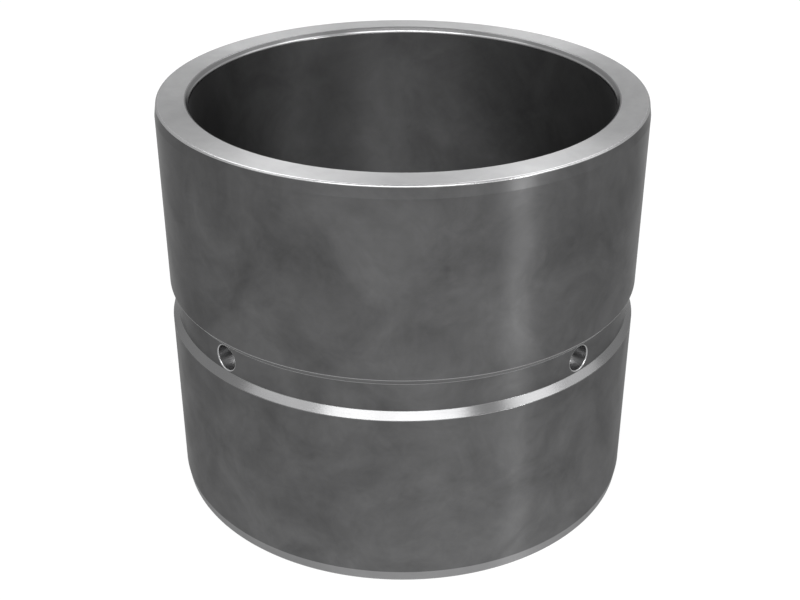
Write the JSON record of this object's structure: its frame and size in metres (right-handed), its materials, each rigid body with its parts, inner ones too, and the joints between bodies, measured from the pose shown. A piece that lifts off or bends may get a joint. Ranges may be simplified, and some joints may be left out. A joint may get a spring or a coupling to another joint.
{
  "type": "sleeve bearing",
  "caption": "Thick plain steel sleeve bearing for a large pivot pin, with chamfered ends, a grease groove round its outer wall and radial grease holes.",
  "frame": {"origin": "centre of the bottom end face, on the bore axis", "axes": "+Z along the bore axis, +X through the middle of one grease hole"},
  "size_m": [0.116, 0.116, 0.1],
  "materials": {
    "turned_steel": "fine turned and hardened, dark grey, satin"
  },
  "bodies": {
    "root": {"sleeve": "turned_steel"}
  },
  "joints": []
}
